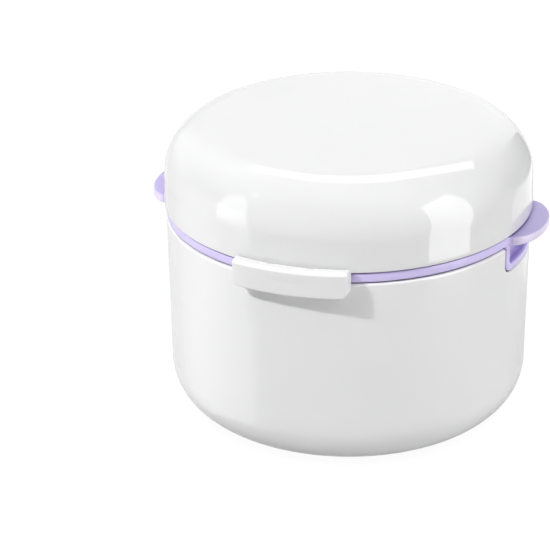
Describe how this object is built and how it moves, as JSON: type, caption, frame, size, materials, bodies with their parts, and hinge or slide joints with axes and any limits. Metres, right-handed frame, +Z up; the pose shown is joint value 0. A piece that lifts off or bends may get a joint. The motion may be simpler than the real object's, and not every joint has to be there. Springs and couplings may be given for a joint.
{
  "type": "denture case",
  "caption": "Round denture soaking case: white cup, domed lid on a rear hinge, front snap latch, and a lavender strainer basket whose side ears stick out at the seam.",
  "frame": {"origin": "centre of the cup's flat base, on the table", "axes": "+Z up, front latch towards -Y, lid hinge towards +Y, the basket's ears along +X and -X"},
  "size_m": [0.1004, 0.0988, 0.0747],
  "materials": {
    "white_gloss": "glossy opaque white",
    "white_latch": "satin opaque white",
    "lavender": "satin lavender",
    "pin_metal": "plain drawn wire"
  },
  "bodies": {
    "cup": {"cup_body": "white_gloss", "basket": "lavender", "hinge_pin": "pin_metal"},
    "lid": {"lid": "white_gloss", "latch_pin": "pin_metal"},
    "latch": {"front_latch": "white_latch"}
  },
  "joints": [
    {"name": "lid_hinge", "type": "hinge", "parent": "cup", "child": "lid", "pos_m": [0, 0.04757, 0.0515], "axis": [-1, 0, 0], "range_deg": [0, 105]},
    {"name": "latch_hinge", "type": "hinge", "parent": "lid", "child": "latch", "pos_m": [0, -0.04695, 0.0539], "axis": [-1, 0, 0], "range_deg": [0, 50]}
  ]
}
